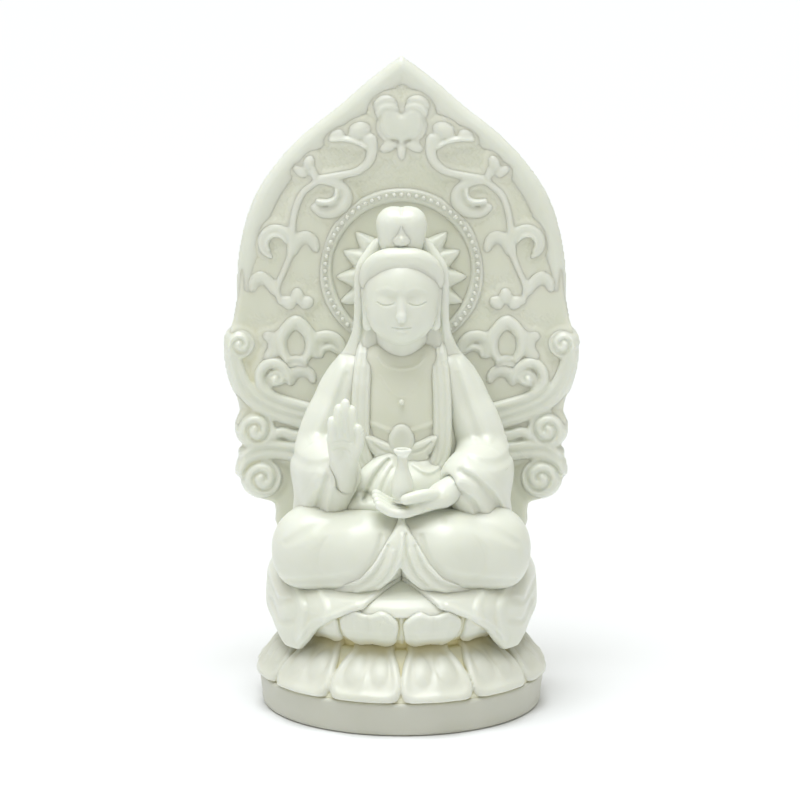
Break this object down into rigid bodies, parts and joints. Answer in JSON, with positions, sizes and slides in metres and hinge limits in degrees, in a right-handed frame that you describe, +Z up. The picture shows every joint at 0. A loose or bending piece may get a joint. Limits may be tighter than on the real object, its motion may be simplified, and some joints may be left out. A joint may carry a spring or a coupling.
{
  "type": "jade figurine",
  "caption": "Seated robed figure on a double lotus pedestal, holding a small vase, before a pointed arch-shaped backplate carved with scrolling vines.",
  "frame": {"origin": "centre of the plinth's underside, where the figurine rests", "axes": "+Z up, the face looks towards -Y, +X is the figure's own left hand side"},
  "size_m": [0.0824, 0.068, 0.15],
  "materials": {
    "jade": "polished, slightly translucent pale green white",
    "jade_recess": "satin, carved grounds and hollows"
  },
  "bodies": {
    "root": {"plinth": "jade", "lower_lotus_core": "jade_recess", "lower_petals": "jade", "lotus_waist": "jade_recess", "upper_lotus_core": "jade_recess", "upper_petals": "jade", "lotus_seat": "jade", "right_knee": "jade", "left_knee": "jade", "right_robe_hem": "jade", "left_robe_hem": "jade", "lap_fold": "jade", "torso": "jade", "chest_panel": "jade_recess", "chest_lotus": "jade", "collar_band": "jade", "right_sleeve": "jade", "left_sleeve": "jade", "right_hand": "jade", "left_hand": "jade", "vase": "jade", "head": "jade", "front_hair": "jade", "topknot": "jade", "hair_jewel": "jade", "right_veil": "jade", "left_veil": "jade", "backplate_slab": "jade_recess", "backplate_rim": "jade", "halo_ring": "jade", "halo_beads": "jade", "halo_rays": "jade", "right_vine": "jade", "left_vine": "jade", "right_blossom": "jade", "left_blossom": "jade", "right_cloud_scrolls": "jade", "left_cloud_scrolls": "jade", "crest_blossom": "jade"}
  },
  "joints": []
}
